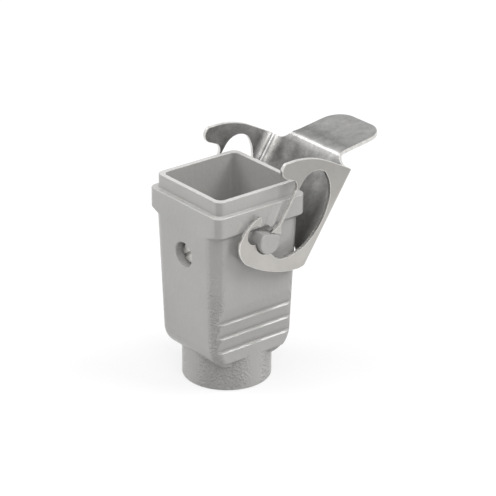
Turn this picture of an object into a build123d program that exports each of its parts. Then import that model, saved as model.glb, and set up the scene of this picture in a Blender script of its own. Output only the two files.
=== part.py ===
from build123d import *
from math import cos, radians, sin, tan
import os

# Heavy-duty connector hood of the 21 by 21 mm insert size, cable boss down, mating side up.
# Millimetres, +Z up, the origin on the axis of the cable boss at its lower end.
# The lever swings about an axis along Y, its back plate and tab are on the +X side.

# Heights of the hood
SEAT_CUT_Z = 9.0
UNDERSIDE_Z = 7.0
COLLAR_LOW_Z = 44.3
COLLAR_SLOPE = 1.1
COLLAR_HEIGHT = 6.3
LIP_HEIGHT = 3.7

# Cable boss with its M20 x 1.5 thread
THREAD_RADIUS = 9.19
BOSS_WALL = 2.33
NECK_HALF_DEPTH = 9.9
SHOULDER_RADIUS = 6.2

# Chambers for the insert and the cable
INSERT_WIDTH = 21.1
INSERT_CORNER = 1.2
INSERT_SEAT_DEPTH = 14.3
INSERT_CHAMBER_DEPTH = 10.0
CHAMBER_CORNER = 4.2
CHAMBER_TAPER = 4.0
FLOOR_Z = 13.0

# Walls of the mating side, from the insert outwards
SEAT_LEDGE = 0.88
OPENING_CORNER = 1.75
LIP_WALL = 1.35
LIP_CORNER = 2.0
GASKET_LEDGE = 1.36
COLLAR_CORNER = 2.2
COLLAR_OVERHANG = 1.19
BODY_CORNER = 4.4
DRAFT = 2.5

# Grip ledges on the two faces that carry the pegs
LEDGE_TOP_Z = 20.6
LEDGE_PITCH = 4.0
LEDGE_COUNT = 3
LEDGE_DEPTH = 0.9

# Lever pegs
PEG_BELOW_COLLAR = 2.3
PEG_RADIUS = 3.1
PEG_PROUD = 1.3
PEG_SUNK = 0.84
PEG_FLAT_HEIGHT = 1.95
PEG_FLAT_TILT = 18.0
PEG_CHAMFER = 0.45

# Rub pad above each peg
PAD_HEIGHT = 0.45
PAD_HALF_WIDTH = 1.8
PAD_NEAR = 3.7
PAD_FAR = 9.4
PAD_CREST = 0.8
PAD_SUNK = 1.0
PAD_SLOPE_ANGLE = 31.0

# Insert screw in the -X wall
SCREW_BELOW_SEAT = 3.5
SCREW_POCKET_GAP = 0.5
SCREW_POCKET_DEPTH = 3.2
SCREW_PAD_WALL = 1.8
SCREW_PAD_HEIGHT = 1.25
SCREW_HOLE_GAP = 0.15
SCREW_HEAD_RADIUS = 2.7
SCREW_HEAD_HEIGHT = 1.35
SCREW_SHANK_RADIUS = 1.5
SCREW_SHANK_LENGTH = 5.6
SCREW_SLOT_WIDTH = 0.85
SCREW_SLOT_DEPTH = 0.75
SCREW_SLOT_TURN = 35.0
SCREW_HEAD_EDGE = 0.35
SCREW_SEAT_GAP = 0.02

# Lever sheet
OPEN_ANGLE = 34.0
SHEET = 1.0
BEND_INSIDE = 1.0
CHEEK_GAP = 0.76
PLATE_GAP = 1.56
PLATE_TOP_Z = 25.4
PLATE_LOW_Z = 2.0
PLATE_CUT_HALF_Y = 9.2
PLATE_CUT_SPREAD = 1.4

# Peg seat of the lever
PEG_PLAY = 0.35
LOBE_RADIUS = 2.45
LOBE_X = -4.4
LOBE_Z = 0.05

# Tab of the lever
TAB_ANGLE = 48.0
TAB_ROOT_Z = 27.7
TAB_LENGTH = 16.2
TAB_HALF_WIDTH = 9.2
TAB_TIP_CORNER = 5.6
TAB_ROOT_FILLET = 4.0

# Broken edges
COLLAR_EDGE = 0.3
FINE_EDGE = 0.2

# Reach of cutting shapes past the part, and a small overlap of joined ones
FAR = 40.0
OVERLAP = 1.0

os.makedirs("parts", exist_ok=True)


gasket_step_z = COLLAR_LOW_Z + COLLAR_HEIGHT
rim_z = gasket_step_z + LIP_HEIGHT
insert_seat_z = rim_z - INSERT_SEAT_DEPTH
insert_low_z = insert_seat_z - INSERT_CHAMBER_DEPTH
peg_z = COLLAR_LOW_Z - PEG_BELOW_COLLAR
opening_width = INSERT_WIDTH + 2 * SEAT_LEDGE
lip_width = opening_width + 2 * LIP_WALL
collar_width = lip_width + 2 * GASKET_LEDGE
boss_radius = THREAD_RADIUS + BOSS_WALL


def body_half_x(z):
    """Half width of the body along X at a height z."""
    return collar_width / 2 - (COLLAR_LOW_Z - z) * tan(radians(DRAFT))


def body_half_y(z):
    """Half depth of the body along Y at a height z."""
    return body_half_x(z) - COLLAR_OVERHANG


# Sizes that hood, screw and lever share
cheek_inner_y = collar_width / 2 + CHEEK_GAP
cheek_outer_y = cheek_inner_y + SHEET
peg_end_y = cheek_outer_y + PEG_PROUD
peg_root_y = body_half_y(peg_z) - PEG_SUNK
screw_z = insert_seat_z - SCREW_BELOW_SEAT
screw_hole_radius = SCREW_SHANK_RADIUS + SCREW_HOLE_GAP
screw_pad_radius = screw_hole_radius + SCREW_PAD_WALL
screw_pad_face = INSERT_WIDTH / 2 - SCREW_PAD_HEIGHT
pocket_radius = SCREW_HEAD_RADIUS + SCREW_POCKET_GAP
pocket_floor_x = body_half_x(screw_z) - SCREW_POCKET_DEPTH

# Hood shell
shoulder_top_z = UNDERSIDE_Z + SHOULDER_RADIUS
shoulder_x = body_half_x(shoulder_top_z)
shoulder_foot_x = shoulder_x - SHOULDER_RADIUS
arc_mid = SHOULDER_RADIUS * (1 - sin(radians(45)))

with BuildPart() as shell:
    # Tapered body
    with BuildSketch(Plane.XY.offset(COLLAR_LOW_Z)):
        RectangleRounded(2 * body_half_x(COLLAR_LOW_Z), 2 * body_half_y(COLLAR_LOW_Z), BODY_CORNER)
    extrude(amount=UNDERSIDE_Z - COLLAR_LOW_Z, taper=DRAFT)
    # Rounded shoulders along the lower edges of the two X faces
    for side in (-1, 1):
        with BuildSketch(Plane.XZ):
            with BuildLine():
                Line((side * shoulder_x, shoulder_top_z), (side * FAR, shoulder_top_z))
                Line((side * FAR, shoulder_top_z), (side * FAR, 0))
                Line((side * FAR, 0), (side * shoulder_foot_x, 0))
                Line((side * shoulder_foot_x, 0), (side * shoulder_foot_x, UNDERSIDE_Z))
                ThreePointArc(
                    (side * shoulder_foot_x, UNDERSIDE_Z),
                    (side * (shoulder_x - arc_mid), UNDERSIDE_Z + arc_mid),
                    (side * shoulder_x, shoulder_top_z),
                )
            make_face()
        extrude(amount=FAR, both=True, mode=Mode.SUBTRACT)
    # Body cut back to a neck under the two Y faces
    for side in (-1, 1):
        with Locations((0, side * (NECK_HALF_DEPTH + FAR / 2), SEAT_CUT_Z / 2)):
            Box(2 * FAR, FAR, SEAT_CUT_Z, mode=Mode.SUBTRACT)
    # Grip ledges, each one the foot of a shallow scoop
    for index in range(LEDGE_COUNT):
        foot = LEDGE_TOP_Z - index * LEDGE_PITCH
        head = foot + LEDGE_PITCH
        for side in (-1, 1):
            with BuildSketch(Plane.YZ):
                with BuildLine():
                    Polyline(
                        (side * (body_half_y(foot) - LEDGE_DEPTH), foot),
                        (side * (body_half_y(foot) + OVERLAP), foot),
                        (side * (body_half_y(head) + OVERLAP), head),
                        (side * body_half_y(head), head),
                        close=True,
                    )
                make_face()
            extrude(amount=FAR, both=True, mode=Mode.SUBTRACT)
    # Cable boss
    with BuildSketch(Plane.XY):
        Circle(boss_radius)
    extrude(amount=FLOOR_Z)
    # Collar, its underside sloped on the two Y faces, and lip
    with BuildSketch(Plane.XY.offset(COLLAR_LOW_Z)):
        RectangleRounded(collar_width, collar_width, COLLAR_CORNER)
    extrude(amount=gasket_step_z - COLLAR_LOW_Z)
    for side in (-1, 1):
        with BuildSketch(Plane.YZ):
            with BuildLine():
                Polyline(
                    (side * body_half_y(COLLAR_LOW_Z), COLLAR_LOW_Z),
                    (side * collar_width / 2, COLLAR_LOW_Z + COLLAR_SLOPE),
                    (side * (collar_width / 2 + OVERLAP), COLLAR_LOW_Z + COLLAR_SLOPE),
                    (side * (collar_width / 2 + OVERLAP), COLLAR_LOW_Z),
                    close=True,
                )
            make_face()
        extrude(amount=FAR, both=True, mode=Mode.SUBTRACT)
    with BuildSketch(Plane.XY.offset(gasket_step_z)):
        RectangleRounded(lip_width, lip_width, LIP_CORNER)
    extrude(amount=rim_z - gasket_step_z)
    # Broken upper edges of collar and lip
    level_faces = shell.faces().filter_by(Plane.XY)
    step_face = level_faces.filter_by(lambda f: abs(f.center().Z - gasket_step_z) < 0.01)[0]
    chamfer(step_face.outer_wire().edges(), COLLAR_EDGE)
    rim_face = shell.faces().sort_by(Axis.Z)[-1]
    chamfer(rim_face.outer_wire().edges(), FINE_EDGE)
    # Opening and insert chamber
    with BuildSketch(Plane.XY.offset(rim_z)):
        RectangleRounded(opening_width, opening_width, OPENING_CORNER)
    extrude(amount=insert_seat_z - rim_z, mode=Mode.SUBTRACT)
    with BuildSketch(Plane.XY.offset(insert_seat_z)):
        RectangleRounded(INSERT_WIDTH, INSERT_WIDTH, INSERT_CORNER)
    extrude(amount=insert_low_z - insert_seat_z, mode=Mode.SUBTRACT)
    # Cable chamber narrowing to the thread
    with BuildSketch(Plane.XY.offset(insert_low_z)):
        RectangleRounded(INSERT_WIDTH, INSERT_WIDTH, CHAMBER_CORNER)
    extrude(amount=FLOOR_Z - insert_low_z, taper=CHAMBER_TAPER, mode=Mode.SUBTRACT)
    rim_face = shell.faces().sort_by(Axis.Z)[-1]
    chamfer(rim_face.inner_wires()[0].edges(), FINE_EDGE)
    # Thread bore, at the crest diameter of the thread
    with BuildSketch(Plane.XY):
        Circle(THREAD_RADIUS)
    extrude(amount=FLOOR_Z, mode=Mode.SUBTRACT)
    boss_face = shell.faces().sort_by(Axis.Z)[0]
    chamfer(boss_face.outer_wire().edges(), FINE_EDGE)
    # Lever pegs with a slanted flat on top
    for side in (-1, 1):
        with BuildSketch(Plane(origin=(0, side * peg_root_y, peg_z), x_dir=(1, 0, 0), z_dir=(0, -1, 0))):
            Circle(PEG_RADIUS)
            with Locations(Location((0, 0, 0), (0, 0, -PEG_FLAT_TILT))):
                with Locations((0, PEG_FLAT_HEIGHT + PEG_RADIUS)):
                    Rectangle(4 * PEG_RADIUS, 2 * PEG_RADIUS, mode=Mode.SUBTRACT)
        extrude(amount=-side * (peg_end_y - peg_root_y))
        peg_end = shell.faces().sort_by(Axis.Y)[0 if side < 0 else -1]
        chamfer(peg_end.outer_wire().edges(), PEG_CHAMFER)
    # Rub pads between pegs and gasket step
    pad_root = collar_width / 2
    for side in (-1, 1):
        pad_plane = Plane(
            origin=(0, 0, peg_z),
            x_dir=(sin(radians(PAD_SLOPE_ANGLE)), 0, cos(radians(PAD_SLOPE_ANGLE))),
            z_dir=(cos(radians(PAD_SLOPE_ANGLE)), 0, -sin(radians(PAD_SLOPE_ANGLE))),
        )
        with BuildSketch(pad_plane):
            with BuildLine():
                Polyline(
                    (PAD_FAR, side * pad_root),
                    (PAD_NEAR + PAD_CREST, side * (pad_root + PAD_HEIGHT)),
                    (PAD_NEAR, side * (pad_root + PAD_HEIGHT)),
                    (PAD_NEAR, side * (pad_root - PAD_SUNK)),
                    (PAD_FAR, side * (pad_root - PAD_SUNK)),
                    close=True,
                )
            make_face()
        extrude(amount=PAD_HALF_WIDTH, both=True)
    # Screw pocket in the -X wall, with a pad inside
    with BuildSketch(Plane(origin=(-screw_pad_face, 0, screw_z), x_dir=(0, 1, 0), z_dir=(-1, 0, 0))):
        Circle(screw_pad_radius)
    extrude(amount=body_half_x(screw_z) - screw_pad_face - OVERLAP)
    with BuildSketch(Plane(origin=(-pocket_floor_x, 0, screw_z), x_dir=(0, 1, 0), z_dir=(-1, 0, 0))):
        Circle(pocket_radius)
    extrude(amount=FAR, mode=Mode.SUBTRACT)
    with BuildSketch(Plane(origin=(0, 0, screw_z), x_dir=(0, 1, 0), z_dir=(-1, 0, 0))):
        Circle(screw_hole_radius)
    extrude(amount=FAR, mode=Mode.SUBTRACT)

# Insert screw
head_seat_x = pocket_floor_x + SCREW_SEAT_GAP
with BuildPart() as screw:
    screw_plane = Plane(origin=(-head_seat_x, 0, screw_z), x_dir=(0, 1, 0), z_dir=(-1, 0, 0))
    with BuildSketch(screw_plane):
        Circle(SCREW_HEAD_RADIUS)
    extrude(amount=SCREW_HEAD_HEIGHT)
    head_face = screw.faces().sort_by(Axis.X)[0]
    chamfer(head_face.outer_wire().edges(), SCREW_HEAD_EDGE)
    with BuildSketch(screw_plane.offset(SCREW_HEAD_HEIGHT)):
        with Locations(Location((0, 0, 0), (0, 0, SCREW_SLOT_TURN))):
            Rectangle(4 * SCREW_HEAD_RADIUS, SCREW_SLOT_WIDTH)
    extrude(amount=-SCREW_SLOT_DEPTH, mode=Mode.SUBTRACT)
    with BuildSketch(screw_plane):
        Circle(SCREW_SHANK_RADIUS)
    extrude(amount=-SCREW_SHANK_LENGTH)
    tip_face = screw.faces().sort_by(Axis.X)[-1]
    chamfer(tip_face.outer_wire().edges(), SCREW_HEAD_EDGE)

# Lever, drawn in its own frame: origin on the peg axis, x to the back plate, z along the plate
tilt = radians(OPEN_ANGLE)
lever_origin = (0, 0, peg_z)
along_x = (cos(tilt), 0, -sin(tilt))
along_z = (sin(tilt), 0, cos(tilt))
side_plane = Plane(origin=lever_origin, x_dir=along_x, z_dir=(0, -1, 0))
cross_plane = Plane(origin=lever_origin, x_dir=along_x, z_dir=along_z)
plate_inner_x = collar_width / 2 + PLATE_GAP
plate_outer_x = plate_inner_x + SHEET
bend_outside = BEND_INSIDE + SHEET
bend_x = plate_outer_x - bend_outside
seat_radius = PEG_RADIUS + PEG_PLAY


def off_bend(distance, z):
    """Outline point at a distance from the bend towards the pegs, and a height above them."""
    return (bend_x - distance, z)


# Outline points near the bend, as (distance from the bend towards the pegs, z)
CROWN_TOP = (9.4, 24.3)
CROWN_REAR = (4.8, 24.9)
HEEL_BACK = (-2.8, 0.6)
HEEL_KNEE = (0.4, -2.8)
HEEL_FRONT = (2.9, -4.3)
WINDOW_REAR_LOW = (2.85, 1.9)
WINDOW_REAR_FOOT = (1.0, 6.3)
WINDOW_REAR = (0.45, 10.6)
WINDOW_REAR_HEAD = (1.1, 14.9)
WINDOW_REAR_TOP = (3.0, 18.85)

# Corners and arc points of the cheek outline, (x, z) from the peg axis, as (from, middle, to)
NOSE_TOP = ((-6.0, 18.0), (-5.75, 18.95), (-4.95, 19.6))
CROWN = ((-4.95, 19.6), (-0.7, 22.3), off_bend(*CROWN_TOP))
CROWN_BACK = (off_bend(*CROWN_TOP), off_bend(*CROWN_REAR), (bend_x, PLATE_TOP_Z))
HEEL_OUT = off_bend(*HEEL_BACK)
HEEL_BEND = off_bend(*HEEL_KNEE)
HEEL_LOW = off_bend(*HEEL_FRONT)
KEEL = (HEEL_LOW, (5.3, -6.6), (-2.0, -7.5))
CHIN = ((-2.0, -7.5), (-6.3, -5.9), (-7.9, -2.7))
FINGER_BACK = ((-7.9, -2.7), (-7.6, 0.6), (-6.4, 3.7))
FINGER_TIP = ((-5.6, 4.75), (-4.75, 4.0), (-4.4, 2.95))
SEAT_END_ANGLE = -50.0
CUSP = (3.6, -2.35)
WINDOW_LOW = (CUSP, (5.9, -2.75), (8.25, -1.75))
WINDOW_HEEL = ((8.25, -1.75), off_bend(*WINDOW_REAR_LOW), off_bend(*WINDOW_REAR_FOOT))
WINDOW_BACK = (off_bend(*WINDOW_REAR_FOOT), off_bend(*WINDOW_REAR), off_bend(*WINDOW_REAR_HEAD))
WINDOW_TOP = (off_bend(*WINDOW_REAR_HEAD), off_bend(*WINDOW_REAR_TOP), (7.6, 21.75))
WINDOW_NECK = ((7.6, 21.75), (3.9, 20.6), (2.15, 16.9))
ARM_RIGHT = 2.05
ARM_LEFT = 1.5
ARM_ROOT_Z = 15.0
FOOT_TOP_Z = 4.9
FOOT_HEEL = (3.3, 3.22)
FOOT_TOE = (0.0, 2.28)
NOTCH = ((ARM_LEFT, 14.0), (0.8, 15.65), (-0.6, 16.3))
NOSE_UNDER = (-2.95, 15.85)
NOSE_LOW = (NOSE_UNDER, (-5.0, 16.1), (-6.0, 17.5))

# Where the lobe beside the peg meets the peg seat
lobe_distance = (LOBE_X**2 + LOBE_Z**2) ** 0.5
chord = (lobe_distance**2 + seat_radius**2 - LOBE_RADIUS**2) / (2 * lobe_distance)
half_chord = (seat_radius**2 - chord**2) ** 0.5
LOBE_MEETS_SEAT = (
    (LOBE_X * chord - LOBE_Z * half_chord) / lobe_distance,
    (LOBE_Z * chord + LOBE_X * half_chord) / lobe_distance,
)
SEAT_END = (seat_radius * cos(radians(SEAT_END_ANGLE)), seat_radius * sin(radians(SEAT_END_ANGLE)))

# Tab bend, measured on the inner face of the sheet
bend_half = radians(TAB_ANGLE / 2)
bend_start_z = TAB_ROOT_Z - bend_outside * tan(bend_half)
bend_centre = (plate_inner_x + bend_outside, bend_start_z)


def tab_arc_point(radius, angle):
    """Point of the tab bend at a radius from the bend centre and an angle turned from the plate."""
    turned = radians(angle)
    return (bend_centre[0] - radius * cos(turned), bend_centre[1] + radius * sin(turned))


tab_run = (sin(radians(TAB_ANGLE)), cos(radians(TAB_ANGLE)))
tip_inner = (plate_inner_x + TAB_LENGTH * tab_run[0], TAB_ROOT_Z + TAB_LENGTH * tab_run[1])
tip_outer = (tip_inner[0] + SHEET * tab_run[1], tip_inner[1] - SHEET * tab_run[0])
tab_overlap_z = PLATE_TOP_Z - TAB_ROOT_FILLET
front_plane = Plane(origin=lever_origin, x_dir=(0, 1, 0), z_dir=along_x)

# Tab with its flared root, later joined to the back plate
with BuildPart() as tab_blank:
    with BuildSketch(side_plane):
        with BuildLine():
            Line((plate_inner_x, tab_overlap_z), (plate_inner_x, bend_start_z))
            ThreePointArc(
                (plate_inner_x, bend_start_z),
                tab_arc_point(bend_outside, TAB_ANGLE / 2),
                tab_arc_point(bend_outside, TAB_ANGLE),
            )
            Line(tab_arc_point(bend_outside, TAB_ANGLE), tip_inner)
            Line(tip_inner, tip_outer)
            Line(tip_outer, tab_arc_point(BEND_INSIDE, TAB_ANGLE))
            ThreePointArc(
                tab_arc_point(BEND_INSIDE, TAB_ANGLE),
                tab_arc_point(BEND_INSIDE, TAB_ANGLE / 2),
                (plate_outer_x, bend_start_z),
            )
            Line((plate_outer_x, bend_start_z), (plate_outer_x, tab_overlap_z))
            Line((plate_outer_x, tab_overlap_z), (plate_inner_x, tab_overlap_z))
        make_face()
    extrude(amount=TAB_HALF_WIDTH + TAB_ROOT_FILLET, both=True)
    # Side cuts with a rounded inner corner leave the flared root
    for side in (-1, 1):
        with BuildSketch(front_plane):
            with Locations((side * (TAB_HALF_WIDTH + FAR / 2), PLATE_TOP_Z + FAR / 2)):
                RectangleRounded(FAR, FAR, TAB_ROOT_FILLET)
        extrude(amount=2 * FAR, mode=Mode.SUBTRACT)
    tip_edges = tab_blank.edges().filter_by(lambda e: abs(e.length - SHEET) < 0.01).sort_by(Axis.X)[-2:]
    fillet(tip_edges, TAB_TIP_CORNER)

with BuildPart() as lever:
    # Bent channel of two cheeks and a back plate
    with BuildSketch(cross_plane.offset(-FAR / 2)):
        with Locations((plate_outer_x - FAR / 2, 0)):
            RectangleRounded(FAR, 2 * cheek_outer_y, bend_outside)
        with Locations((plate_inner_x - FAR / 2 - bend_outside, 0)):
            RectangleRounded(FAR + 2 * bend_outside, 2 * cheek_inner_y, BEND_INSIDE, mode=Mode.SUBTRACT)
    extrude(amount=2 * FAR)
    # Outline of the two cheeks
    with BuildSketch(side_plane):
        with BuildLine():
            Line(NOSE_LOW[2], NOSE_TOP[0])
            ThreePointArc(*NOSE_TOP)
            ThreePointArc(*CROWN)
            ThreePointArc(*CROWN_BACK)
            Line(CROWN_BACK[2], (HEEL_OUT[0], PLATE_TOP_Z))
            Line((HEEL_OUT[0], PLATE_TOP_Z), HEEL_OUT)
            Line(HEEL_OUT, HEEL_BEND)
            Line(HEEL_BEND, HEEL_LOW)
            ThreePointArc(*KEEL)
            ThreePointArc(*CHIN)
            ThreePointArc(*FINGER_BACK)
            Line(FINGER_BACK[2], FINGER_TIP[0])
            ThreePointArc(*FINGER_TIP)
            Line(FINGER_TIP[2], (LOBE_X, LOBE_Z + LOBE_RADIUS))
            ThreePointArc((LOBE_X, LOBE_Z + LOBE_RADIUS), (LOBE_X - LOBE_RADIUS, LOBE_Z), LOBE_MEETS_SEAT)
            ThreePointArc(LOBE_MEETS_SEAT, (0, -seat_radius), SEAT_END)
            Line(SEAT_END, CUSP)
            ThreePointArc(*WINDOW_LOW)
            ThreePointArc(*WINDOW_HEEL)
            ThreePointArc(*WINDOW_BACK)
            ThreePointArc(*WINDOW_TOP)
            ThreePointArc(*WINDOW_NECK)
            Line(WINDOW_NECK[2], (ARM_RIGHT, ARM_ROOT_Z))
            Line((ARM_RIGHT, ARM_ROOT_Z), (ARM_RIGHT, FOOT_TOP_Z))
            Line((ARM_RIGHT, FOOT_TOP_Z), FOOT_HEEL)
            Line(FOOT_HEEL, FOOT_TOE)
            Line(FOOT_TOE, (ARM_LEFT, FOOT_TOP_Z))
            Line((ARM_LEFT, FOOT_TOP_Z), NOTCH[0])
            ThreePointArc(*NOTCH)
            Line(NOTCH[2], NOSE_UNDER)
            ThreePointArc(*NOSE_LOW)
        make_face()
    extrude(amount=FAR, both=True, mode=Mode.INTERSECT)
    # Lower edge of the back plate, raised between the bends to clear the open lever's way past the hood
    cut_drop = 2 * PLATE_LOW_Z
    cut_low_half_y = PLATE_CUT_HALF_Y + PLATE_CUT_SPREAD * cut_drop
    with BuildSketch(front_plane.offset(plate_inner_x - SHEET)):
        Polygon(
            (-PLATE_CUT_HALF_Y, PLATE_LOW_Z),
            (PLATE_CUT_HALF_Y, PLATE_LOW_Z),
            (cut_low_half_y, PLATE_LOW_Z - cut_drop),
            (-cut_low_half_y, PLATE_LOW_Z - cut_drop),
            align=None,
        )
    extrude(amount=3 * SHEET, mode=Mode.SUBTRACT)
    add(tab_blank.part)

shell.part.label = "hood_shell"
screw.part.label = "insert_screw"
lever.part.label = "locking_lever"

export_step(shell.part, "parts/hood_shell.step")
export_step(screw.part, "parts/insert_screw.step")
export_step(lever.part, "parts/locking_lever.step")

for piece in (shell, screw, lever):
    size = piece.part.bounding_box().size
    print(piece.part.label, "solids", len(piece.part.solids()), "volume", round(piece.part.volume, 1))
    print("  size", round(size.X, 2), round(size.Y, 2), round(size.Z, 2))
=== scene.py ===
# %% [markdown]
# A connector hood, dressed for its portrait.
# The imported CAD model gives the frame: where each piece sits and how the lever swings.
# This lesson builds the visible hood and lever again with softer edges, and finishes them.
# The scene is in metres and the numbers of the real piece are in millimetres, so one helper
# turns them into metres.

# %% Load the frame
import bpy
import bmesh
from math import asin, atan2, cos, hypot, pi, radians, sin, tan
from mathutils import Matrix, Vector
from mathutils.geometry import delaunay_2d_cdt


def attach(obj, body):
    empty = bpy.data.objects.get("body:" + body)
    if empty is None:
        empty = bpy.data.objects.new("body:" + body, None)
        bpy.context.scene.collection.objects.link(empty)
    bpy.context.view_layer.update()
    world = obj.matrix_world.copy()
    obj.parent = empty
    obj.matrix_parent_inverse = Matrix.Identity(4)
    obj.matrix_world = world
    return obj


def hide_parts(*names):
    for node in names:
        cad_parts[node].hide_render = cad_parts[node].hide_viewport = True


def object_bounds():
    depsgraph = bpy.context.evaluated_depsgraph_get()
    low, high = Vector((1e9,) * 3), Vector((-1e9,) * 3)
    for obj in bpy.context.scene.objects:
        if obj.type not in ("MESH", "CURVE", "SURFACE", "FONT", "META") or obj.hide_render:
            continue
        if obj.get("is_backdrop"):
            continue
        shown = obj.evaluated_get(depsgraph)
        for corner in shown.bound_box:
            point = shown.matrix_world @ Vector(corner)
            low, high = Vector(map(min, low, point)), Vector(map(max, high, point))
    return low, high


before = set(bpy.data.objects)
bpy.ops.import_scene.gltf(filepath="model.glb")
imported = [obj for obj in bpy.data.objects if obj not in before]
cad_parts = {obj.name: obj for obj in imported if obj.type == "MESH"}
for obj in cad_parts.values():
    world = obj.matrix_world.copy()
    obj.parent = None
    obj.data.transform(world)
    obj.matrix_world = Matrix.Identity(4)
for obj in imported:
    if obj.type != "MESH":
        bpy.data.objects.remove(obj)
cad_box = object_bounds()

MM = 0.001


def mm(*values):
    """Millimetres as a vector in metres."""
    return Vector(values) * MM


# %% [markdown]
# The camera. The photograph was taken from the front left, a little above the rim, with a long lens.
# The long lens keeps the upright edges nearly parallel, so the camera stands about 0.6 m away.
# Its place is written out as a right, an up and a back direction, which is exactly what a camera
# matrix holds.

# %% Camera
AZIMUTH, ELEVATION, ROLL = radians(-38.945), radians(24.406), radians(0.398)
FOCAL_PIXELS, FRAME_PIXELS, SENSOR = 2365.15, 496, 36.0
CAMERA_PLACE = mm(-337.43, -425.90, 281.11)


def add_object(name, data):
    """An object of the scene that shows the given data."""
    added = bpy.data.objects.new(name, data)
    bpy.context.scene.collection.objects.link(added)
    return added


back = Vector((sin(AZIMUTH) * cos(ELEVATION), -cos(AZIMUTH) * cos(ELEVATION), sin(ELEVATION)))
level = Vector((cos(AZIMUTH), sin(AZIMUTH), 0.0))
upright = back.cross(level)
right = level * cos(ROLL) + upright * sin(ROLL)
up = -level * sin(ROLL) + upright * cos(ROLL)

camera_data = bpy.data.cameras.new("camera")
camera_data.sensor_width = SENSOR
camera_data.lens = SENSOR * FOCAL_PIXELS / FRAME_PIXELS
camera_data.clip_start, camera_data.clip_end = 0.01, 20.0
camera = add_object("camera", camera_data)
directions = Matrix((right, up, back)).transposed().to_4x4()
camera.matrix_world = Matrix.Translation(CAMERA_PLACE) @ directions
bpy.context.scene.camera = camera
print("lens", round(camera_data.lens, 2), "mm")

# %% [markdown]
# A cast hood is made from two halves of a tool: an outer mould and a core that leaves the inside open.
# The same idea works here. Each is a stack of rings, one above the other, joined by quads.
# A ring is a square with round corners, written as a function of its half widths and corner radius.

# %% Rings of a casting
CORNER_STEPS = 12
SAME_POINT = 0.002 * MM


def rounded_ring(half_x, half_y, corner, z, limit_y=None):
    """Points of a rounded rectangle at height z, always the same count, so that rings can be joined."""
    ring = []
    for centre_x, centre_y, start in ((1, 1, 0), (-1, 1, 90), (-1, -1, 180), (1, -1, 270)):
        for step in range(CORNER_STEPS + 1):
            angle = radians(start + 90 * step / CORNER_STEPS)
            x = centre_x * (half_x - corner) + corner * cos(angle)
            y = centre_y * (half_y - corner) + corner * sin(angle)
            if limit_y is not None:
                y = max(-limit_y, min(limit_y, y))
            ring.append((x, y, z))
    return ring


def square_ring(half, corner, z):
    """A ring as wide as it is deep. A corner as large as the half width makes it a circle."""
    return rounded_ring(half, half, corner, z)


def stack(name, rings):
    """A closed solid from rings that follow one another; all have the same count of points."""
    count = len(rings[0])
    last = (len(rings) - 1) * count
    points = [mm(*p) for ring in rings for p in ring]
    faces = []
    for low in range(0, last, count):
        for i in range(count):
            j = (i + 1) % count
            faces.append((low + i, low + j, low + count + j, low + count + i))
    faces.append(tuple(reversed(range(count))))
    faces.append(tuple(last + i for i in range(count)))
    mesh = bpy.data.meshes.new(name)
    mesh.from_pydata(points, [], faces)
    made = bmesh.new()
    made.from_mesh(mesh)
    bmesh.ops.remove_doubles(made, verts=made.verts, dist=SAME_POINT)
    bmesh.ops.recalc_face_normals(made, faces=made.faces)
    made.to_mesh(mesh)
    made.free()
    return add_object(name, mesh)


print("points in a ring", len(square_ring(1.0, 0.5, 0.0)))

# %% [markdown]
# The outside of the hood. The walls lean in towards the cable boss, because a casting has to leave its
# mould. The two faces with the lever pegs step in under the collar, and carry three grip ledges.
# Each ledge is the foot of a shallow scoop. A scoop is a limit on how far out a ring may reach in Y.

# %% Sizes of the hood
COLLAR_HALF, COLLAR_CORNER = 14.14, 2.2
COLLAR_LOW, COLLAR_FULL, STEP_Z, RIM_Z = 44.3, 45.4, 50.6, 54.3
BODY_HALF_Y, BODY_CORNER = 12.95, 4.4
DRAFT = radians(2.5)
LIP_HALF, LIP_CORNER = 12.78, 2.0
OPENING_HALF, OPENING_CORNER = 11.43, 1.75
UNDERSIDE_Z, NECK_TOP_Z, NECK_HALF, SHOULDER = 7.0, 9.0, 9.9, 6.2


def body_x(z):
    """Half width at height z, with the round shoulders below."""
    if z >= UNDERSIDE_Z + SHOULDER:
        return COLLAR_HALF - (COLLAR_LOW - z) * tan(DRAFT)
    drop = UNDERSIDE_Z + SHOULDER - z
    widest = COLLAR_HALF - (COLLAR_LOW - UNDERSIDE_Z - SHOULDER) * tan(DRAFT)
    return widest - SHOULDER + (max(SHOULDER**2 - drop**2, 0.0)) ** 0.5


def body_y(z):
    """Half depth at height z."""
    return BODY_HALF_Y - (COLLAR_LOW - z) * tan(DRAFT)


def body_ring(z, limit_y=None):
    """Ring of the body at height z; its corners sharpen a little downwards, as the draft takes them in."""
    corner = BODY_CORNER - (COLLAR_LOW - z) * tan(DRAFT)
    return rounded_ring(body_x(z), body_y(z), corner, z, limit_y)


print("body under the collar", round(2 * body_x(COLLAR_LOW), 2), "mm wide")

# %% [markdown]
# On the real hood every outer edge is a little round, because the paint chips off sharp edges.
# A bevel afterwards would also round the fine steps of the ledges, so the round edges are drawn as rings:
# the rings crowd where the shape turns and lie far apart on the plain walls.

# %% Outside of the hood
QUARTER = (0, 22.5, 45, 67.5, 90)
ROUND, EDGE, LIP_EDGE, FILLET, HAIR = 0.1, 0.26, 0.24, 0.12, 0.01
NECK_STEPS = 8
SHOULDER_RINGS, WALL_RINGS = (9.6, 10.1, 10.6, 11.1, 11.6, 12.0), (24.9, 30.0, 35.0, 40.0, 43.9)
LEDGES, LEDGE_DEPTH, LEDGE_RISE, SCOOP_PARTS = (12.6, 16.6, 20.6), 0.9, 4.0, (0.3, 0.6, 0.85)
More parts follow.
